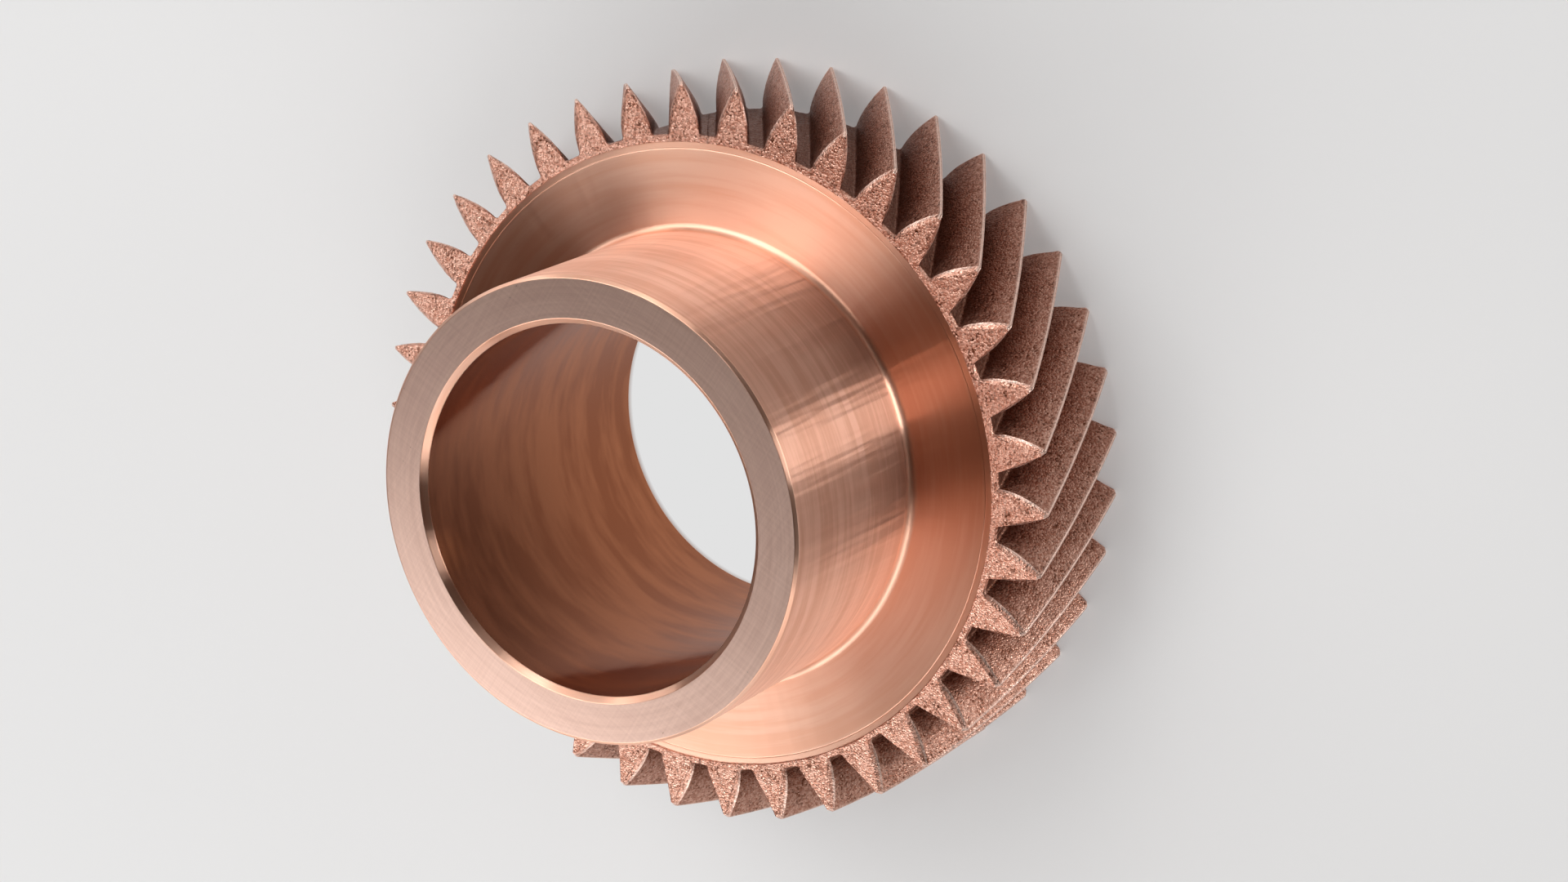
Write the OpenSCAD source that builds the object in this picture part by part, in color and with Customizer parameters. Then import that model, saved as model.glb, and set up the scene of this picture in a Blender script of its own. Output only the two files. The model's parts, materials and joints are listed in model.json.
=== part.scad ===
// A helical dressing gear: a toothed disc and a hub turned from one blank.
// It stands on the back of the disc, with the hub upwards and its axis on +Z.
// The origin is the centre of the back face of the teeth.

/* [Bore] */
// Diameter of the through bore
bore_d = 50; // [40:0.5:56]
// Chamfer at both mouths of the bore
bore_chamfer = 0.8; // [0.2:0.1:1.5]

/* [Hub] */
// Outside diameter of the hub
hub_d = 63; // [58:0.5:76]
// How far the hub stands out from the front of the teeth
hub_projection = 30.5; // [6:0.5:60]
// Edge break round the outside of the hub's end
hub_edge_break = 0.4; // [0.1:0.1:1.5]
// Radius where the hub meets the turned face
hub_fillet = 1; // [0.2:0.1:3]

/* [Teeth] */
// Number of teeth
teeth = 38; // [36:1:60]
// Module in the normal section
normal_module = 2.15; // [2.05:0.05:3]
// Pressure angle in the normal section
pressure_angle = 17.5; // [15:0.5:18.5]
// Helix angle at the pitch circle, of a left-hand helix
helix_angle = 32; // [20:0.5:38]
// Width of the teeth along the axis
face_width = 22.5; // [8:0.5:50]
// Height of a tooth above the pitch circle, in modules
addendum_factor = 1.67; // [1:0.01:1.72]
// Depth of a gap below the pitch circle, in modules
dedendum_factor = 1.66; // [1:0.01:1.9]
// How much thinner a tooth is than half the normal pitch
tooth_thinning = 0.28; // [0:0.02:0.4]
// Rounding in the corner of a gap
root_fillet = 0.4; // [0.1:0.05:0.6]
// Break along both edges of a tooth's top
tip_break = 0.1; // [0.02:0.01:0.14]
// Depth of the chamfer at both ends of a tooth
end_chamfer = 0.5; // [0.1:0.05:1]

/* [Grit plating] */
// Width of the plated ring inside the bottoms of the gaps
plated_margin = 1; // [0.4:0.1:3]
// How far the plated ring stands out from the turned faces
plating_step = 0.2; // [0.05:0.05:0.5]

/* [Hidden] */
$fn = 128;

// Facets along the fillet, along the flank and along the helix
fillet_steps = 2;
flank_steps = 4;
helix_steps = 4;
// Share of the end chamfer that is left at the bottom of a gap
gap_chamfer_share = 0.4;
// Widening of a tooth below its base circle, in degrees for each millimetre
foot_flare = 0.1;
// How far a cut runs past the face that it opens
overrun = 1;

overall_length = face_width + hub_projection;
bore_r = bore_d / 2;
hub_r = hub_d / 2;
back_face_z = plating_step;
front_face_z = face_width - plating_step;

// Gear geometry in the plane across the axis
pitch_r = teeth * normal_module / cos(helix_angle) / 2;
transverse_angle = atan(tan(pressure_angle) / cos(helix_angle));
base_r = pitch_r * cos(transverse_angle);
tip_r = pitch_r + addendum_factor * normal_module;
root_r = pitch_r - dedendum_factor * normal_module;
tooth_thickness = (PI * normal_module / 2 - tooth_thinning) / cos(helix_angle);
plated_inner_r = root_r - plated_margin;

// Angle in degrees that an arc of the given length covers
function arc_angle(length, r) = length / r * 180 / PI;

// Involute function of an angle, in degrees
function involute(angle) = tan(angle) * 180 / PI - angle;

// Half the angle that a tooth covers at radius r: an involute down to the base
// circle, and a slightly flared foot below it
function half_angle(r) =
    arc_angle(tooth_thickness / 2, pitch_r) + involute(transverse_angle)
    - involute(acos(base_r / max(r, base_r)))
    + foot_flare * max(base_r - r, 0);

// One side of a tooth from the bottom of the gap to the top, as radius and half angle
function tooth_side() = concat(
    [for (i = [0 : fillet_steps])
        let (turn = 90 * i / fillet_steps, r = root_r + root_fillet * (1 - cos(turn)))
        [r, half_angle(r) + arc_angle(root_fillet * (1 - sin(turn)), r)]],
    [for (i = [1 : flank_steps])
        let (low = root_r + root_fillet, r = low + (tip_r - tip_break - low) * i / flank_steps)
        [r, half_angle(r)]],
    [[tip_r, half_angle(tip_r) - arc_angle(tip_break, tip_r)]]
);

// The same side drawn in by an end chamfer: widest at mid height of the flank,
// full at the top and shallow at the bottom of the gap
function drawn_in(side, chamfer) =
    [for (p = side)
        let (height = (p[0] - root_r) / (tip_r - root_r),
             drop = chamfer * (gap_chamfer_share + (1 - gap_chamfer_share) * height))
        [p[0] - drop, p[1] - arc_angle(chamfer * sin(180 * height), p[0])]];

// Both sides of a tooth in order of angle
function tooth_outline(side) = concat(
    [for (p = side) [p[0], -p[1]]],
    [for (i = [len(side) - 1 : -1 : 0]) side[i]]
);

// The whole toothed outline at height z, turned back as the helix climbs
function gear_ring(z, chamfer) =
    let (tooth = tooth_outline(drawn_in(tooth_side(), chamfer)),
         lead = arc_angle((z - face_width / 2) * tan(helix_angle), pitch_r))
    [for (i = [0 : teeth - 1], p = tooth)
        let (angle = 360 * i / teeth + p[1] - lead)
        [p[0] * cos(angle), p[0] * sin(angle), z]];

// Toothed disc, lofted through rings of points from the back end to the front end
module toothed_disc() {
    run = face_width - 2 * end_chamfer;
    stations = concat(
        [[0, end_chamfer]],
        [for (i = [0 : helix_steps]) [end_chamfer + run * i / helix_steps, 0]],
        [[face_width, end_chamfer]]
    );
    rings = len(stations);
    count = len(gear_ring(0, 0));
    back_centre = rings * count;
    front_centre = back_centre + 1;
    points = concat(
        [for (s = stations, p = gear_ring(s[0], s[1])) p],
        [[0, 0, 0], [0, 0, face_width]]
    );
    flanks = [for (k = [0 : rings - 2], i = [0 : count - 1])
        let (a = k * count + i, b = k * count + (i + 1) % count)
        each [[a, a + count, b + count], [a, b + count, b]]];
    back_end = [for (i = [0 : count - 1]) [back_centre, i, (i + 1) % count]];
    front_end = [for (i = [0 : count - 1])
        let (top = (rings - 1) * count) [front_centre, top + (i + 1) % count, top + i]];
    polyhedron(points = points, faces = concat(flanks, back_end, front_end));
}

// Turned faces at both ends, cut back to where the plating stops
module turned_faces() {
    translate([0, 0, back_face_z - overrun])
        cylinder(h = overrun, r = plated_inner_r);
    translate([0, 0, front_face_z])
        cylinder(h = plating_step + overrun, r = plated_inner_r);
}

// Hub, rooted in the disc, with its fillet and its edge break
module hub() {
    rotate_extrude() {
        polygon([
            [0, face_width / 2],
            [hub_r, face_width / 2],
            [hub_r, overall_length - hub_edge_break],
            [hub_r - hub_edge_break, overall_length],
            [0, overall_length]
        ]);
        difference() {
            translate([hub_r - overrun, front_face_z - overrun])
                square(hub_fillet + overrun);
            translate([hub_r + hub_fillet, front_face_z + hub_fillet])
                circle(hub_fillet);
        }
    }
}

// Bore right through, with a chamfer at each mouth
module bore() {
    mouth_r = bore_r + bore_chamfer;
    rotate_extrude()
        polygon([
            [0, back_face_z - overrun],
            [mouth_r + overrun, back_face_z - overrun],
            [bore_r, back_face_z + bore_chamfer],
            [bore_r, overall_length - bore_chamfer],
            [mouth_r + overrun, overall_length + overrun],
            [0, overall_length + overrun]
        ]);
}

module dressing_gear() {
    color("#c48a76")
        difference() {
            union() {
                difference() {
                    toothed_disc();
                    turned_faces();
                }
                hub();
            }
            bore();
        }
}

dressing_gear();
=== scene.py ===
"""A gear-shaped dressing wheel: a turned copper-toned body with grit-plated helical teeth."""
import json
import math

import bpy
import numpy as np
from mathutils import Matrix, Vector


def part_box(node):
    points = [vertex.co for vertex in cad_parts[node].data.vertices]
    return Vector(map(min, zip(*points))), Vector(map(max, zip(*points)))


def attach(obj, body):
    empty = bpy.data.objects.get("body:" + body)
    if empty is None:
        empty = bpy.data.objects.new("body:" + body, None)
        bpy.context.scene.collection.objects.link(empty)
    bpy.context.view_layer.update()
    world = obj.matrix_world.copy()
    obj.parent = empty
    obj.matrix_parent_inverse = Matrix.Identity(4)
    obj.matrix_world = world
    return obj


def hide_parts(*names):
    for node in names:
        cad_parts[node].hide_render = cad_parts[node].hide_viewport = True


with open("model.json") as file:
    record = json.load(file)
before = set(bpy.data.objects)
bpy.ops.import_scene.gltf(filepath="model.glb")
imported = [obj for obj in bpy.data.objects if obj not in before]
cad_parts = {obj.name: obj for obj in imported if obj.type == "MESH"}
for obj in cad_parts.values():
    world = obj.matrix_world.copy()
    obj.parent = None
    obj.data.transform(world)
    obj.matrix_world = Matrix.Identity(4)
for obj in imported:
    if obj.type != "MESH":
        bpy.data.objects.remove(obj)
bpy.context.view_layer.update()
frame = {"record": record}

MM = 0.001
GEAR = "dressing_gear"
mounts = {m["name"]: m for m in frame["record"]["mounts"]}

# Turned sizes, read from the frame
BORE_RADIUS = mounts["bore"]["dims"]["r_mm"] * MM
HUB_RADIUS = mounts["hub_outside"]["dims"]["r_mm"] * MM
OVERALL_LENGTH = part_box(GEAR)[1].z
PLATING_STEP = mounts["back_face"]["pos_m"][2]

# Turned sizes of the part's source
FACE_WIDTH = 22.5 * MM
BORE_CHAMFER = 0.8 * MM
HUB_EDGE_BREAK = 0.4 * MM
HUB_FILLET = 1.0 * MM
PLATED_MARGIN = 1.0 * MM
BACK_FACE_Z = PLATING_STEP
FRONT_FACE_Z = FACE_WIDTH - PLATING_STEP

# Tooth sizes of the part's source
TEETH = 38
NORMAL_MODULE = 2.15 * MM
PRESSURE_ANGLE = math.radians(17.5)
HELIX_ANGLE = math.radians(32)
ADDENDUM = 1.67 * NORMAL_MODULE
DEDENDUM = 1.66 * NORMAL_MODULE
TOOTH_THINNING = 0.28 * MM
ROOT_FILLET = 0.4 * MM
TIP_BREAK = 0.1 * MM
END_CHAMFER = 0.5 * MM
GAP_CHAMFER_SHARE = 0.4
FOOT_FLARE = math.radians(0.1) / MM

PITCH_RADIUS = TEETH * NORMAL_MODULE / math.cos(HELIX_ANGLE) / 2
TRANSVERSE_ANGLE = math.atan(math.tan(PRESSURE_ANGLE) / math.cos(HELIX_ANGLE))
BASE_RADIUS = PITCH_RADIUS * math.cos(TRANSVERSE_ANGLE)
TIP_RADIUS = PITCH_RADIUS + ADDENDUM
ROOT_RADIUS = PITCH_RADIUS - DEDENDUM
TOOTH_THICKNESS = (math.pi * NORMAL_MODULE / 2 - TOOTH_THINNING) / math.cos(HELIX_ANGLE)
PLATED_INNER_RADIUS = ROOT_RADIUS - PLATED_MARGIN
PITCH_ANGLE = 2 * math.pi / TEETH

# How far the turned body and the plated ring reach into each other
SEAT_OVERLAP = 0.4 * MM

# Finishes of the turned body, in the order of its material slots
TURNED, GROUND, HONED, BRUSHED = 0, 1, 2, 3
TURNED_STEPS = 480
CORNER_STEPS = 4
SOFT_CORNER = 0.06 * MM
GROOVE_WIDTH = 0.16 * MM
GROOVE_DEPTH = 0.04 * MM
GROOVE_INSET = 0.9 * MM
GROOVE_RADIUS = PLATED_INNER_RADIUS - GROOVE_INSET

# Plated ring: whole teeth in each of its pieces
SECTOR_TEETH = (10, 9, 10, 9)
# Points along one side of a tooth: its fillet, the land in the gap, the flank and the rounded edge
FILLET_POINTS, LAND_POINTS, FLANK_POINTS, EDGE_POINTS = 6, 4, 25, 4
# Stations down a flank and across an end face, and those of an end chamfer as shares of its depth
FLANK_STATIONS = 76
END_STATIONS = 15
CHAMFER_STATIONS = (0.12, 0.5, 0.88, 1)
# Depths below the end face of the foot of the ring's inner wall, and of the bevel at its top
WALL_DEPTHS = (1.2 * MM, 0.05 * MM)

# Relief of the grains, the share of its coarse noise, the width of the band of edge wear and painted
# highlight along a tooth's top, and how far wear smooths the relief there
GRAIN_SIZE = 0.55 * MM
GRAIN_DEPTH = 0.08 * MM
GRAIN_SEED = 38
COARSE_SHARE = 0.6
WEAR_AND_HIGHLIGHT_WIDTH = 0.14 * MM
SMOOTHED = 0.8

# Painted shade of a flank at the top of a tooth, and the power by which it falls off from the gap's bottom
FLANK_SHADE = 0.4
GAP_SHADE_FALL = 1.6


# Meshes

def mesh_piece(name, grid, faces, uvs, materials, face_material=None, attributes=None):
    """Makes a smooth-shaded object from a grid of points, quads and a UV for each face corner, with a
    value at each point for each named attribute."""
    mesh = bpy.data.meshes.new(name)
    points = grid.reshape(-1, 3)
    mesh.vertices.add(len(points))
    mesh.vertices.foreach_set("co", points.astype(np.float32).ravel())
    mesh.loops.add(faces.size)
    mesh.loops.foreach_set("vertex_index", faces.astype(np.int32).ravel())
    mesh.polygons.add(len(faces))
    mesh.polygons.foreach_set("loop_start", np.arange(0, faces.size, 4, dtype=np.int32))
    mesh.polygons.foreach_set("use_smooth", np.ones(len(faces), bool))
    if face_material is not None:
        mesh.polygons.foreach_set("material_index", face_material.astype(np.int32))
    layer = mesh.uv_layers.new(name="OFBake")
    layer.uv.foreach_set("vector", uvs.astype(np.float32).ravel())
    for label, values in (attributes or {}).items():
        attribute = mesh.attributes.new(label, "FLOAT", "POINT")
        attribute.data.foreach_set("value", values.astype(np.float32).ravel())
    mesh.update(calc_edges=True)
    mesh.validate()
    for material in materials:
        mesh.materials.append(material)
    piece = bpy.data.objects.new(name, mesh)
    bpy.context.scene.collection.objects.link(piece)
    return piece


def grid_faces(columns, rows, column_count):
    """Quads over a grid whose rows close on themselves, and whose columns do so if there are as many
    as steps: corners (c, r), (c, r + 1), (c + 1, r + 1) and (c + 1, r)."""
    c, r = np.meshgrid(np.arange(columns), np.arange(rows), indexing="ij")
    c1 = (c + 1) % column_count
    r1 = (r + 1) % rows
    quads = np.stack([c * rows + r, c * rows + r1, c1 * rows + r1, c1 * rows + r], -1)
    return quads.reshape(-1, 4)


def grid_uvs(u, v):
    """Corner UVs for grid_faces, where u and v hold one value more than there are quads."""
    u0, v0 = np.meshgrid(u[:-1], v[:-1], indexing="ij")
    u1, v1 = np.meshgrid(u[1:], v[1:], indexing="ij")
    return np.stack([u0, v0, u0, v1, u1, v1, u1, v0], -1).reshape(-1, 4, 2)


def running_length(points, closed):
    """Distance run along a line of points as a share of the whole; closed ones come back round."""
    line = np.concatenate([points, points[:1]]) if closed else points
    steps = np.linalg.norm(np.diff(line, axis=0), axis=1)
    return np.concatenate([[0], np.cumsum(steps)]) / steps.sum()


def grid_normals(grid):
    """Unit normals of a grid closed both ways: the cross product of its central differences."""
    along = np.roll(grid, -1, 0) - np.roll(grid, 1, 0)
    across = np.roll(grid, -1, 1) - np.roll(grid, 1, 1)
    normal = np.cross(across, along)
    return normal / np.maximum(np.linalg.norm(normal, axis=2, keepdims=True), 1e-12)


# Turned body

def section_corners():
    """The turned section as rows of radius, height, rounding of the corner, steps along the stretch
    that follows and its finish: out over the back face to the bore, up it, out over the hub's end,
    down the hub, out over the web past one fine groove, and down a wall inside the plated ring."""
    top, out = OVERALL_LENGTH, PLATED_INNER_RADIUS + SEAT_OVERLAP
    hub_top, mouth = top - HUB_EDGE_BREAK, BORE_RADIUS + BORE_CHAMFER
    fine = GROOVE_WIDTH / 6
    return np.array([
        (out, BACK_FACE_Z, 0, 30, TURNED),
        (mouth, BACK_FACE_Z, SOFT_CORNER, 4, TURNED),
        (BORE_RADIUS, BACK_FACE_Z + BORE_CHAMFER, SOFT_CORNER, 30, HONED),
        (BORE_RADIUS, top - BORE_CHAMFER, SOFT_CORNER, 4, TURNED),
        (mouth, top, SOFT_CORNER, 22, GROUND),
        (HUB_RADIUS - HUB_EDGE_BREAK, top, SOFT_CORNER, 4, TURNED),
        (HUB_RADIUS, hub_top, SOFT_CORNER, 30, BRUSHED),
        (HUB_RADIUS, FRONT_FACE_Z, HUB_FILLET, 26, TURNED),
        (GROOVE_RADIUS - GROOVE_WIDTH / 2, FRONT_FACE_Z, fine, 2, TURNED),
        (GROOVE_RADIUS, FRONT_FACE_Z - GROOVE_DEPTH, fine, 2, TURNED),
        (GROOVE_RADIUS + GROOVE_WIDTH / 2, FRONT_FACE_Z, fine, 8, TURNED),
        (out, FRONT_FACE_Z, 0, 3, TURNED),
    ])


def rounded_corner(before, corner, after, size, steps):
    """A circular arc that touches both ways out of a corner at the given distance from it: the
    rational curve of the second degree whose middle weight is the cosine of half the turn."""
    back = (before - corner) / np.linalg.norm(before - corner)
    ahead = (after - corner) / np.linalg.norm(after - corner)
    weight = math.sqrt(max(1 - back @ ahead, 0) / 2)
    t = np.linspace(0, 1, steps + 1)[:, None]
    start, middle, end = (1 - t) ** 2, 2 * weight * t * (1 - t), t ** 2
    start_point, end_point = corner + back * size, corner + ahead * size
    return (start * start_point + middle * corner + end * end_point) / (start + middle + end)


def turned_section():
    """All points of the section with the finish of the stretch after each. A stretch has its points
    at the cosines of equal angles, so that they crowd towards its corners and keep them crisp."""
    rows = section_corners()
    place = rows[:, :2]
    arcs = []
    for i, (corner, size) in enumerate(zip(place, rows[:, 2])):
        steps = CORNER_STEPS if size else 0
        arcs.append(rounded_corner(place[i - 1], corner, place[(i + 1) % len(rows)], size, steps)
                    if steps else corner[None])
    points, finish = [], []
    for i, arc in enumerate(arcs):
        steps, kind = int(rows[i, 3]), int(rows[i, 4])
        share = (1 - np.cos(np.pi * np.arange(1, steps) / steps))[:, None] / 2
        run = arc[-1] + (arcs[(i + 1) % len(arcs)][0] - arc[-1]) * share
        points += [arc, run]
        finish += [np.full(len(arc) - 1, TURNED), np.full(len(run) + 1, kind)]
    return np.concatenate(points), np.concatenate(finish)


def turned_body(materials):
    """The turned body: its section carried round the axis in equal steps."""
    section, finish = turned_section()
    angle = 2 * np.pi * np.arange(TURNED_STEPS) / TURNED_STEPS
    radius, height = section[:, 0], section[:, 1]
    grid = np.stack([np.outer(np.cos(angle), radius), np.outer(np.sin(angle), radius),
                     np.broadcast_to(height, (TURNED_STEPS, len(section)))], -1)
    faces = grid_faces(TURNED_STEPS, len(section), TURNED_STEPS)
    uvs = grid_uvs(np.linspace(0, 1, TURNED_STEPS + 1), running_length(section, True))
    return mesh_piece("turned_body", grid, faces, uvs, materials,
                      np.tile(finish, TURNED_STEPS))


# Plated ring

def involute(angle):
    """The involute function: tan of the angle less the angle."""
    return np.tan(angle) - angle


def half_angle(radius):
    """Half the angle a tooth covers at a radius: half the thickness at the pitch circle, plus the
    involute of the pressure angle there, less that at the radius; flared below the base circle."""
    pressure = np.arccos(BASE_RADIUS / np.maximum(radius, BASE_RADIUS))
    return (TOOTH_THICKNESS / 2 / PITCH_RADIUS + involute(TRANSVERSE_ANGLE) - involute(pressure)
            + FOOT_FLARE * np.maximum(BASE_RADIUS - radius, 0))


def tooth_side():
    """Radius and half angle along one side, from the middle of a gap to the middle of the top:
    a land on the root circle, a quarter-round fillet, the involute, a rounded edge and the top."""
    turn = np.linspace(0, np.pi / 2, FILLET_POINTS)
    fillet_r = ROOT_RADIUS + ROOT_FILLET * (1 - np.cos(turn))
    fillet_a = half_angle(fillet_r) + ROOT_FILLET * (1 - np.sin(turn)) / fillet_r
    land_a = np.linspace(PITCH_ANGLE / 2, fillet_a[0], LAND_POINTS)[:-1]
    land_r = np.full_like(land_a, ROOT_RADIUS)
    flank_r = np.linspace(fillet_r[-1], TIP_RADIUS - TIP_BREAK, FLANK_POINTS)[1:]
    turn = np.linspace(0, np.pi / 2, EDGE_POINTS)[1:]
    edge_r = TIP_RADIUS - TIP_BREAK * (1 - np.sin(turn))
    edge_a = half_angle(edge_r) - TIP_BREAK * (1 - np.cos(turn)) / edge_r
    top_a = edge_a[-1] * np.array([0.5, 0])
    return (np.concatenate([land_r, fillet_r, flank_r, edge_r, [TIP_RADIUS, TIP_RADIUS]]),
            np.concatenate([land_a, fillet_a, half_angle(flank_r), edge_a, top_a]))


def drawn_in(radius, angle, chamfer):
    """The side drawn in by an end chamfer: by its share at the bottom of a gap rising to all of it
    at the top in radius, and by chamfer times the sine of 180 degrees times height across."""
    height = (radius - ROOT_RADIUS) / (TIP_RADIUS - ROOT_RADIUS)
    drop = chamfer * (GAP_CHAMFER_SHARE + (1 - GAP_CHAMFER_SHARE) * height)
    return radius - drop, angle - chamfer * np.sin(np.pi * height) / radius


def gear_outline(chamfer):
    """Radius and angle round all the teeth: each tooth is the side at minus its half angle up to
    the top, then at plus its half angle down again, turned by one pitch for each tooth."""
    radius, angle = drawn_in(*tooth_side(), chamfer)
    one_r = np.concatenate([radius, radius[-2:0:-1]])
    one_a = np.concatenate([-angle, angle[-2:0:-1]])
    turns = PITCH_ANGLE * np.arange(TEETH)[:, None]
    return np.tile(one_r, TEETH), (one_a + turns).ravel()


def all_teeth(side):
    """Values along one side of a tooth, carried down its other side and round all the teeth."""
    return np.tile(np.concatenate([side, side[-2:0:-1]]), TEETH)


def tooth_heights():
    """Height of each outline point as a share of the tooth's, from the bottom of a gap."""
    return all_teeth((tooth_side()[0] - ROOT_RADIUS) / (TIP_RADIUS - ROOT_RADIUS))


def edge_wear_and_highlight():
    """How much edge wear and painted highlight each point of the plated grid has, from 0 to 1: along a
    tooth's top edges a bell curve of the distance over the band's width, and where an end chamfer
    meets the flank the root of the sine of 180 degrees times height."""
    radius, angle = tooth_side()
    length = np.linalg.norm(np.diff(np.stack([radius, radius * angle], 1), axis=0), axis=1)
    run = np.concatenate([[0], np.cumsum(length)])
    top_edge = all_teeth(np.exp(-((run - run[-4]) / WEAR_AND_HIGHLIGHT_WIDTH) ** 2))
    reach, _, chamfer = plated_stations()
    flank_edge = (reach == 1) & (chamfer > 0) & (chamfer < END_CHAMFER / 4)
    chamfer_wear_and_highlight = np.sin(np.pi * tooth_heights()) ** 0.5
    return np.maximum(np.outer(top_edge, reach == 1), np.outer(chamfer_wear_and_highlight, flank_edge))


def gap_shades():
    """How much painted shade from its gap each point of the plated grid gets: 0 on the end faces and
    their chamfers. A flank has its own painted shade at the top of the tooth. The rest up to 1 is
    added by 1 less the height, to the power of the shade's fall."""
    reach, _, chamfer = plated_stations()
    on_flank = (reach == 1) & (chamfer == 0)
    shade = FLANK_SHADE + (1 - FLANK_SHADE) * (1 - tooth_heights()) ** GAP_SHADE_FALL
    return np.outer(shade, on_flank)


def plated_stations():
    """The loop round the plated ring's section, as three arrays. Reach runs from 0 at the ring's
    inner wall to 1 at the tooth outline, z is the height and chamfer the depth drawn in."""
    end_reach = np.concatenate([[0, 0, 0.01], np.linspace(0.06, 0.94, END_STATIONS), [0.99, 1]])
    end_drop = np.concatenate([WALL_DEPTHS, np.zeros(len(end_reach) - len(WALL_DEPTHS))])
    cut = np.array(CHAMFER_STATIONS)
    flank_z = np.linspace(FACE_WIDTH - END_CHAMFER, END_CHAMFER, FLANK_STATIONS)[1:-1]
    full = np.ones(2 * len(cut) + len(flank_z))
    reach = np.concatenate([end_reach, full, end_reach[::-1]])
    z = np.concatenate([FACE_WIDTH - end_drop, FACE_WIDTH - END_CHAMFER * cut, flank_z,
                        END_CHAMFER * cut[::-1], end_drop[::-1]])
    chamfer = np.concatenate([np.ones(len(end_reach)), 1 - cut, np.zeros(len(flank_z)),
                              1 - cut[::-1], np.ones(len(end_reach))])
    return reach, z, chamfer * END_CHAMFER


def plated_grid():
    """Points of the plated ring as a grid of outline points by section stations. A point keeps the
    outline's angle, and its radius runs from the inner wall to the outline by reach; the whole is
    turned back by height times the tangent of the helix angle over the pitch radius."""
    reach, z, chamfer = plated_stations()
    outlines = [gear_outline(c) for c in chamfer]
    radius = np.stack([o[0] for o in outlines], 1)
    angle = np.stack([o[1] for o in outlines], 1)
    radius = PLATED_INNER_RADIUS + (radius - PLATED_INNER_RADIUS) * reach
    angle = angle - (z - FACE_WIDTH / 2) * math.tan(HELIX_ANGLE) / PITCH_RADIUS
    return np.stack([radius * np.cos(angle), radius * np.sin(angle), np.broadcast_to(z, radius.shape)], -1)


def lattice_noise(points, cell):
    """Seeded noise from 0 to 1 at points in space: random values at the corners of a lattice of the
    given cell, blended along each axis by the share of the way across, 3t squared less 2t cubed."""
    table = np.random.default_rng(GRAIN_SEED).random((64, 64, 64))
    base = np.floor(points / cell).astype(int)
    share = points / cell - base
    share = share * share * (3 - 2 * share)
    total = 0
    for corner in np.ndindex(2, 2, 2):
        weight = np.prod(np.where(corner, share, 1 - share), axis=-1)
        x, y, z = np.moveaxis((base + corner) % 64, -1, 0)
        total = total + weight * table[x, y, z]
    return total


def grain_relief(grid, worn):
    """The grid moved in along its normals by noise at two sizes of grain, less along the wear at the
    edges, so that grains stand up to the true surface and never past it; heights stay between the end
    faces."""
    coarse = lattice_noise(grid, GRAIN_SIZE)
    fine = lattice_noise(grid + GRAIN_SIZE, GRAIN_SIZE / 2)
    rough = COARSE_SHARE * coarse + (1 - COARSE_SHARE) * fine
    depth = GRAIN_DEPTH * rough * (1 - SMOOTHED * worn)
    moved = grid - grid_normals(grid) * depth[..., None]
    moved[..., 2] = np.clip(moved[..., 2], 0, FACE_WIDTH)
    return moved


def plated_sectors(material):
    """The plated ring in sectors of whole teeth. Each is closed at both ends by a ladder of quads
    between the upper and the lower half of its section, in the middle of a gap."""
    worn, deep = edge_wear_and_highlight(), gap_shades()
    whole = grain_relief(plated_grid(), worn)
    per_tooth, rows = len(whole) // TEETH, whole.shape[1]
    k = np.arange(rows // 2 - 1)
    ladder = np.stack([rows - 1 - k, rows - 2 - k, k + 1, k], -1)
    rung = grid_uvs(np.array([0.99, 0.995]), np.arange(len(k) + 1) / len(k))
    pieces, first = [], 0
    for number, teeth in enumerate(SECTOR_TEETH, 1):
        columns = teeth * per_tooth
        picked = (np.arange(columns + 1) + first * per_tooth) % len(whole)
        grid = whole[picked]
        u = running_length(grid[:, rows // 2], False) * 0.98
        faces = np.concatenate([grid_faces(columns, rows, columns + 1), ladder,
                                ladder[:, ::-1] + columns * rows])
        uvs = np.concatenate([grid_uvs(u, running_length(grid[0], True)), rung, rung + [0.005, 0]])
        pieces.append(mesh_piece(f"plated_teeth_{number}", grid, faces, uvs, [material],
                                 attributes={"worn": worn[picked], "gap_depth": deep[picked]}))
        first += teeth
    return pieces


# Materials

def node(tree, kind, inputs=None, **properties):
    """Adds a shader node, sets its properties, and sets or links each of the inputs given."""
    made = tree.nodes.new("ShaderNode" + kind)
    for name, value in properties.items():
        setattr(made, name, value)
    for name, value in (inputs or {}).items():
        if isinstance(value, bpy.types.NodeSocket):
            tree.links.new(value, made.inputs[name])
        else:
            made.inputs[name].default_value = value
    return made


def maths(tree, operation, first, second=0.0):
    """The result of a sum on one or two values."""
    return node(tree, "Math", {0: first, 1: second}, operation=operation).outputs[0]


def spread(tree, value, low, high, start=0.0, end=1.0):
    """A value carried from between low and high to between start and end, and held there."""
    inputs = {"Value": value, "From Min": low, "From Max": high, "To Min": start, "To Max": end}
    return node(tree, "MapRange", inputs).outputs["Result"]


def blend(tree, factor, first, second):
    """The colour between two colours at a factor."""
    inputs = {"Factor": factor, "A": first, "B": second}
    mix = tree.nodes.new("ShaderNodeMix")
    mix.data_type = "RGBA"
    for name, value in inputs.items():
        socket = next(s for s in mix.inputs if s.name == name and s.enabled)
        if isinstance(value, bpy.types.NodeSocket):
            tree.links.new(value, socket)
        else:
            socket.default_value = value
    return next(s for s in mix.outputs if s.enabled)


def noise(tree, vector, scale, detail, roughness=0.5):
    """A noise value at a vector."""
    inputs = {"Vector": vector, "Scale": scale, "Detail": detail, "Roughness": roughness}
    return node(tree, "TexNoise", inputs).outputs["Fac"]


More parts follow.
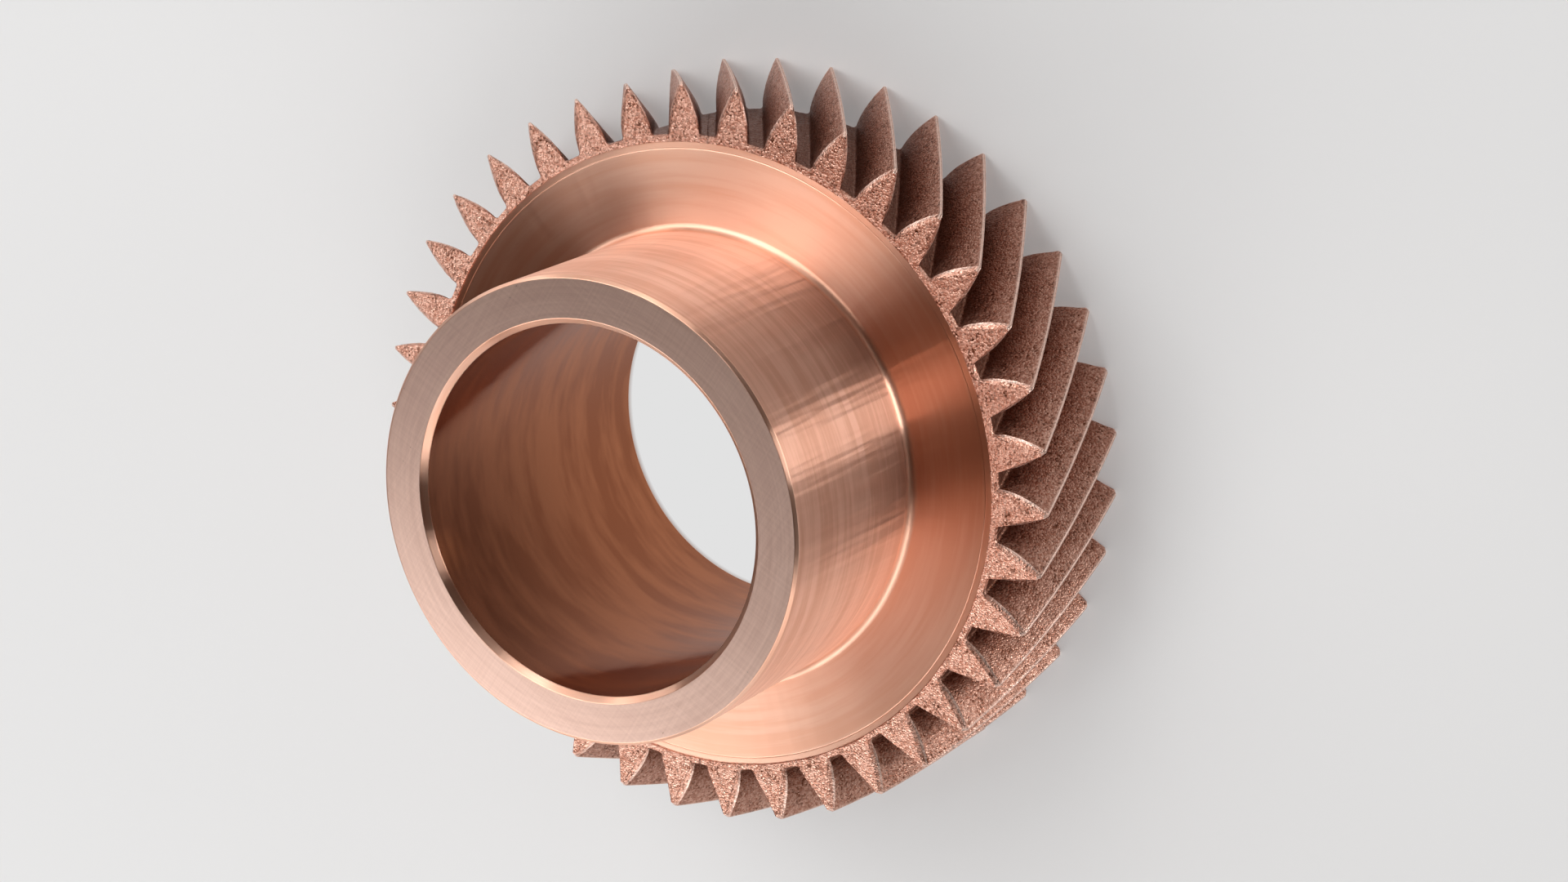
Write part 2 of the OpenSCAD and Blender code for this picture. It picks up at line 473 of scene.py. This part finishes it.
def value_group(name, inputs, outputs):
    """A new node group with numbers in and numbers out; gives the group and both ends inside it."""
    group = bpy.data.node_groups.new(name, "ShaderNodeTree")
    for label, value in inputs.items():
        socket = group.interface.new_socket(label, in_out="INPUT", socket_type="NodeSocketFloat")
        socket.default_value = value
    for label in outputs:
        group.interface.new_socket(label, in_out="OUTPUT", socket_type="NodeSocketFloat")
    return group, group.nodes.new("NodeGroupInput").outputs, group.nodes.new("NodeGroupOutput").inputs


# Lines to a metre: the fine ones, the broad ones as a share of them, and those of the chatter
FINE_LINES = 4200
BROAD_SHARE = 0.16
CHATTER_LINES = 45
# How fast lines and chatter change on the way round the axis, and how rough their noise is
BREAKUP, WAVES = 1.5, 20
MARK_ROUGHNESS = 0.6


def turning_marks():
    """Marks of the lathe, from 0 to 1. Each is noise read at the direction from the axis times one
    number, and at radius plus height times another. Fine and Broad are lines round the axis, which
    change fast across it and slowly along it. Chatter is the waves of a trembling tool, which follow
    each other round the axis and hardly change across the lines."""
    inputs = {"Lines": FINE_LINES, "Breakup": BREAKUP, "Waves": WAVES}
    tree, given, result = value_group("turning_marks", inputs, ["Fine", "Broad", "Chatter"])
    place = node(tree, "TexCoord").outputs["Object"]
    flat = node(tree, "VectorMath", {0: place, 1: (1, 1, 0)}, operation="MULTIPLY").outputs[0]
    radius = node(tree, "VectorMath", {0: flat}, operation="LENGTH").outputs["Value"]
    direction = node(tree, "VectorMath", {0: flat}, operation="NORMALIZE").outputs[0]
    height = node(tree, "SeparateXYZ", {0: place}).outputs["Z"]
    across = maths(tree, "ADD", radius, height)
    rows = (("Fine", "Breakup", given["Lines"], 3, 0.2, 0.8),
            ("Broad", "Breakup", maths(tree, "MULTIPLY", given["Lines"], BROAD_SHARE), 3, 0.4, 0.6),
            ("Chatter", "Waves", CHATTER_LINES, 1, 0.0, 1.0))
    for label, turns, lines, detail, low, high in rows:
        way = node(tree, "VectorMath", {0: direction, "Scale": given[turns]}, operation="SCALE").outputs[0]
        parts = node(tree, "SeparateXYZ", {0: way}).outputs
        step = maths(tree, "MULTIPLY", across, lines)
        vector = node(tree, "CombineXYZ", {0: parts["X"], 1: parts["Y"], 2: step}).outputs[0]
        mark = noise(tree, vector, 1, detail, MARK_ROUGHNESS)
        tree.links.new(spread(tree, mark, low, high), result[label])
    return tree


def metal(name):
    """A metal material; gives it with its tree and its shader."""
    material = bpy.data.materials.new(name)
    material.use_nodes = True
    tree = material.node_tree
    shader = tree.nodes["Principled BSDF"]
    shader.inputs["Metallic"].default_value = 1
    return material, tree, shader


def finish_metal(tree, shader, colour, roughness, *reliefs):
    """Links a colour, a roughness and one or more reliefs, each a height and its depth, to the
    shader."""
    normal = None
    for height, depth in reliefs:
        inputs = {"Height": height, "Distance": depth, "Strength": 1.0}
        if normal:
            inputs["Normal"] = normal
        normal = node(tree, "Bump", inputs).outputs[0]
    for label, value in (("Base Color", colour), ("Roughness", roughness), ("Normal", normal)):
        tree.links.new(value, shader.inputs[label])


def circular_brushing(tree, shader):
    """Stretches highlights across lines that run round the axis: a quarter turn from the UV tangent."""
    tangent = node(tree, "Tangent", direction_type="UV_MAP", uv_map="OFBake").outputs[0]
    tree.links.new(tangent, shader.inputs["Tangent"])
    shader.inputs["Anisotropic"].default_value = 1
    shader.inputs["Anisotropic Rotation"].default_value = 0.25


COPPER_LIGHT = (0.95, 0.57, 0.42, 1)
COPPER_DEEP = (0.90, 0.49, 0.34, 1)
GROUND_LIGHT = (0.96, 0.67, 0.56, 1)
GROUND_DEEP = (0.84, 0.56, 0.46, 1)
BRUSHED_LIGHT = (0.87, 0.50, 0.37, 1)
BRUSHED_DEEP = (0.76, 0.40, 0.28, 1)
# The bore's colours are far darker than copper: painted shade of the bore's inside
HONED_SHADED_LIGHT = (0.44, 0.15, 0.065, 1)
HONED_SHADED_DEEP = (0.30, 0.09, 0.035, 1)
GRIT_LIGHT = (0.99, 0.61, 0.48, 1)
GRIT_MID = (0.56, 0.25, 0.17, 1)
GRIT_DEEP = (0.15, 0.05, 0.025, 1)
# Pale colour along the edges of a tooth: wear and painted highlight
GRIT_WEAR_AND_HIGHLIGHT = (0.98, 0.76, 0.66, 1)
# Dark colour towards the bottom of a gap: painted shade
GAP_SHADE_COLOUR = (0.12, 0.035, 0.015, 1)

# Roughness of each finish where it is smoothest and where it is roughest
WEB_ROUGHNESS = (0.28, 0.32)
HUB_ROUGHNESS = (0.40, 0.46)
BORE_ROUGHNESS = (0.20, 0.24)
END_ROUGHNESS = (0.27, 0.30)
GRIT_ROUGHNESS = (0.32, 0.60)

# Depth of the lathe's lines, of the faint marks in the bore and on the hub's end, and of the waves
LINE_DEPTH = 0.0015 * MM
FAINT_DEPTH = 0.0002 * MM
WEB_WAVE_DEPTH = 0.012 * MM
HUB_WAVE_DEPTH = 0.09 * MM
BORE_WAVE_DEPTH = 0.015 * MM

# The bore's lines and waves, and the hub end's lines
BORE_LINES, BORE_WAVES = 1600, 10
END_LINES = 2000
# Two sets of scratches on the hub's end: turn in degrees, and changes to a metre along and across
SCRATCHES = ((38, 50, 2600), (-52, 40, 3300))
# Stretches of a sum of two marks that are spread out: of both scratches, and of scratches and lines
SCRATCH_STRETCH = (0.4, 1.6)
END_STRETCH = (0.6, 1.4)

# Grit: cells and patches to a metre, and how far a grain stands out of the bond
GRAIN_CELLS, PATCHES = 3800, 420
GRAIN_STAND = 0.06 * MM
# Stretch of a cell's tone and patch together over which a pit becomes a whole grain
PIT_STRETCH = (0.38, 0.82)
# How much the painted shade of a gap covers, how much the wear and painted highlight at the edges cover,
# and how much wear flattens
SHADE_COVER, WEAR_AND_HIGHLIGHT_COVER, WORN_FLATNESS = 0.8, 0.8, 0.75


def turned_copper(marks, name, deep, light, roughness, wave_depth):
    """Copper-toned metal turned on a lathe: fine lines round the axis and the waves of chatter, with
    a colour and a roughness between two values."""
    material, tree, shader = metal(name)
    lines = node(tree, "Group", node_tree=marks)
    colour = blend(tree, lines.outputs["Broad"], deep, light)
    rough = spread(tree, lines.outputs["Fine"], 0, 1, *roughness)
    finish_metal(tree, shader, colour, rough, (lines.outputs["Fine"], LINE_DEPTH),
                 (lines.outputs["Chatter"], wave_depth))
    circular_brushing(tree, shader)
    return material


def honed_copper(marks):
    """The bore: smoother than the turned faces, with fewer and fainter lines round the axis, and colours
    darkened as painted shade of its inside.
    """
    material, tree, shader = metal("honed_copper")
    lines = node(tree, "Group", {"Lines": BORE_LINES, "Waves": BORE_WAVES}, node_tree=marks)
    colour = blend(tree, lines.outputs["Broad"], HONED_SHADED_DEEP, HONED_SHADED_LIGHT)
    rough = spread(tree, lines.outputs["Broad"], 0, 1, *BORE_ROUGHNESS)
    finish_metal(tree, shader, colour, rough, (lines.outputs["Fine"], FAINT_DEPTH),
                 (lines.outputs["Chatter"], BORE_WAVE_DEPTH))
    circular_brushing(tree, shader)
    return material


def ground_copper(marks):
    """The hub's end: ground flat with two sets of straight fine scratches. Lines round the axis show
    only in its colour."""
    material, tree, shader = metal("ground_copper")
    place = node(tree, "TexCoord").outputs["Object"]
    scratches = []
    for degrees, along, across in SCRATCHES:
        turn = (0, 0, math.radians(degrees))
        turned = node(tree, "Mapping", {"Vector": place, "Rotation": turn}).outputs[0]
        inputs = {0: turned, 1: (along, across, 1)}
        drawn_out = node(tree, "VectorMath", inputs, operation="MULTIPLY").outputs[0]
        scratches.append(noise(tree, drawn_out, 1, 1))
    lines = node(tree, "Group", {"Lines": END_LINES}, node_tree=marks)
    straight = spread(tree, maths(tree, "ADD", scratches[0], scratches[1]), *SCRATCH_STRETCH)
    both = maths(tree, "ADD", straight, lines.outputs["Fine"])
    colour = blend(tree, spread(tree, both, *END_STRETCH), GROUND_DEEP, GROUND_LIGHT)
    rough = spread(tree, straight, 0, 1, *END_ROUGHNESS)
    finish_metal(tree, shader, colour, rough, (straight, FAINT_DEPTH))
    return material


def diamond_grit():
    """Grit plating: grains as the cells of a fixed pattern, each with its own tone and gloss,
    standing proud of the bond; on the flanks darker towards the bottom of a gap by painted shade, and
    along the edges of a tooth pale from wear and painted highlight, and smooth from wear."""
    material, tree, shader = metal("diamond_grit")
    place = node(tree, "TexCoord").outputs["Object"]
    cells = node(tree, "TexVoronoi", {"Vector": place, "Scale": GRAIN_CELLS, "Randomness": 1})
    tone = node(tree, "SeparateColor", {0: cells.outputs["Color"]}).outputs
    mottle = noise(tree, place, PATCHES, 3)
    worn = node(tree, "Attribute", attribute_name="worn").outputs["Fac"]
    deep = node(tree, "Attribute", attribute_name="gap_depth").outputs["Fac"]
    grain = blend(tree, tone[0], GRIT_MID, GRIT_LIGHT)
    # Painted shade: the flanks darken towards the bottom of a gap
    shaded = blend(tree, maths(tree, "MULTIPLY", deep, SHADE_COVER), grain, GAP_SHADE_COLOUR)
    whole = spread(tree, maths(tree, "ADD", tone[1], mottle), *PIT_STRETCH)
    pitted = blend(tree, whole, GRIT_DEEP, shaded)
    # Wear and painted highlight: the edges of a tooth turn pale
    colour = blend(tree, maths(tree, "MULTIPLY", worn, WEAR_AND_HIGHLIGHT_COVER), pitted, GRIT_WEAR_AND_HIGHLIGHT)
    rough = spread(tree, tone[2], 0, 1, *GRIT_ROUGHNESS)
    flat = maths(tree, "SUBTRACT", 1.0, maths(tree, "MULTIPLY", worn, WORN_FLATNESS))
    height = maths(tree, "MULTIPLY", maths(tree, "SUBTRACT", 1.0, cells.outputs["Distance"]), flat)
    finish_metal(tree, shader, colour, rough, (height, GRAIN_STAND))
    return material


# Stage

CAMERA_PLACE = Vector((-0.27255, -0.10883, 0.46160))
CAMERA_AIM = Vector((-0.01298, -0.00252, 0.0225))
CAMERA_ROLL = math.radians(-115.36)
CAMERA_LENS = 88.95

# The floor as the lamps light it, its own tone, and the share of that in what is seen of it
FLOOR_REACH = 3
FLOOR_COLOUR = (0.84, 0.84, 0.84, 1)
FLOOR_ROUGHNESS = 0.9
FLOOR_TONE = 0.76
FLOOR_GLOW = 0.3
# The floor in the bore has its own tone: a painted pool of light within a bore radius of a place on
# the side away from the camera, which fades to a painted shade at the pool's edge, given in bore radii
POOL_PLACE = (31 * MM, 12 * MM, 0)
POOL_EDGE = 1.7
BORE_SHADE = 0.16

# Backdrop, with the heights of the way that it is seen in where the pale part ends and the dim begins
BACKDROP_COLOUR = (0.74, 0.74, 0.74, 1)
ROOM_COLOUR = (0.03, 0.018, 0.012, 1)
BACKDROP_TOP, ROOM_START = 0.12, 0.19

# Distance of every lamp from the origin
LAMP_DISTANCE = 1.0


def photo_camera():
    """The camera looks from its place to its aim, then turns about its own axis by the roll."""
    data = bpy.data.cameras.new("photo_camera")
    data.lens = CAMERA_LENS
    camera = bpy.data.objects.new("photo_camera", data)
    look = (CAMERA_AIM - CAMERA_PLACE).to_track_quat("-Z", "Y").to_matrix()
    turned = (look @ Matrix.Rotation(CAMERA_ROLL, 3, "Z")).to_4x4()
    camera.matrix_world = Matrix.Translation(CAMERA_PLACE) @ turned
    bpy.context.scene.collection.objects.link(camera)
    bpy.context.scene.camera = camera


def soft_lamp(name, azimuth, elevation, width, height, brightness):
    """A rectangular soft lamp that faces the origin from an azimuth and an elevation in degrees. Its
    power is its brightness times pi times its area, so that a larger lamp looks no brighter."""
    turn, rise = math.radians(azimuth), math.radians(elevation)
    way = Vector((math.cos(rise) * math.cos(turn), math.cos(rise) * math.sin(turn), math.sin(rise)))
    data = bpy.data.lights.new(name, "AREA")
    data.shape = "RECTANGLE"
    data.size, data.size_y = width, height
    data.energy = brightness * math.pi * width * height
    light = bpy.data.objects.new(name, data)
    light.location = way * LAMP_DISTANCE
    light.rotation_euler = (-way).to_track_quat("-Z", "Y").to_euler()
    bpy.context.scene.collection.objects.link(light)


def studio_floor():
    """A wide plain floor. Where it is seen, mirrored or seen through, part of it is a tone of its own
    and the rest is lit, so that it stays pale and keeps its shadows. In the bore all of it is its
    own tone, a painted round pool of light and a painted soft shade beyond it, which don't follow the
    lamps."""
    mesh = bpy.data.meshes.new("floor")
    r = FLOOR_REACH
    mesh.from_pydata([(-r, -r, 0), (r, -r, 0), (r, r, 0), (-r, r, 0)], [], [(0, 1, 2, 3)])
    floor = bpy.data.objects.new("floor", mesh)
    bpy.context.scene.collection.objects.link(floor)
    material = bpy.data.materials.new("pale_floor")
    material.use_nodes = True
    tree = material.node_tree
    shader = tree.nodes["Principled BSDF"]
    shader.inputs["Base Color"].default_value = FLOOR_COLOUR
    shader.inputs["Roughness"].default_value = FLOOR_ROUGHNESS
    place = node(tree, "TexCoord").outputs["Object"]
    radius = node(tree, "VectorMath", {0: place}, operation="LENGTH").outputs["Value"]
    in_bore = spread(tree, radius, BORE_RADIUS + BORE_CHAMFER, BORE_RADIUS)
    ray = node(tree, "LightPath").outputs
    seen = maths(tree, "MAXIMUM", ray["Is Camera Ray"], ray["Is Transmission Ray"])
    seen = maths(tree, "MAXIMUM", seen, ray["Is Glossy Ray"])
    share = maths(tree, "MULTIPLY", seen, spread(tree, in_bore, 0, 1, FLOOR_GLOW, 1.0))
    away = node(tree, "VectorMath", {0: place, 1: POOL_PLACE}, operation="DISTANCE").outputs["Value"]
    # In the bore: a painted pool of light and a painted shade beyond it
    pool = spread(tree, away, BORE_RADIUS, BORE_RADIUS * POOL_EDGE, FLOOR_TONE, BORE_SHADE)
    tone = spread(tree, in_bore, 0, 1, FLOOR_TONE, pool)
    glow = node(tree, "Emission", {"Strength": tone}).outputs[0]
    mixed = node(tree, "MixShader", {0: share, 1: shader.outputs[0], 2: glow}).outputs[0]
    tree.links.new(mixed, tree.nodes["Material Output"].inputs["Surface"])
    mesh.materials.append(material)


def studio_backdrop():
    """A backdrop that is pale up to a little over the horizon and fades to a dim warm room overhead:
    a mix of two colours by the height of the way that it is seen in."""
    world = bpy.data.worlds.new("studio")
    bpy.context.scene.world = world
    world.use_nodes = True
    tree = world.node_tree
    way = node(tree, "TexCoord").outputs["Generated"]
    height = node(tree, "SeparateXYZ", {0: way}).outputs["Z"]
    colour = blend(tree, spread(tree, height, BACKDROP_TOP, ROOM_START), BACKDROP_COLOUR, ROOM_COLOUR)
    tree.links.new(colour, tree.nodes["Background"].inputs["Color"])


bpy.context.scene.view_settings.view_transform = "Standard"
photo_camera()
studio_backdrop()
# Lamps: azimuth and elevation in degrees, width and height in metres, and brightness
soft_lamp("key_lamp", 297, 50, 0.75, 0.42, 3.9)
soft_lamp("under_key_lamp", 262, 24, 0.45, 0.35, 1.0)
soft_lamp("back_key_lamp", 320, 24, 0.45, 0.35, 2.4)
soft_lamp("high_lamp", 300, 72, 0.4, 0.3, 2.8)
soft_lamp("fill_lamp", 44, 39, 0.65, 0.42, 3.9)
soft_lamp("low_lamp", 190, 7, 0.32, 0.22, 10.0)
soft_lamp("side_lamp", 106, 42, 1.0, 0.4, 3.2)
studio_floor()

marks = turning_marks()
web = turned_copper(marks, "turned_copper", COPPER_DEEP, COPPER_LIGHT, WEB_ROUGHNESS, WEB_WAVE_DEPTH)
hub = turned_copper(marks, "brushed_copper", BRUSHED_DEEP, BRUSHED_LIGHT, HUB_ROUGHNESS, HUB_WAVE_DEPTH)
pieces = [turned_body([web, ground_copper(marks), honed_copper(marks), hub])]
pieces += plated_sectors(diamond_grit())
for piece in pieces:
    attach(piece, "root")
    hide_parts(GEAR)
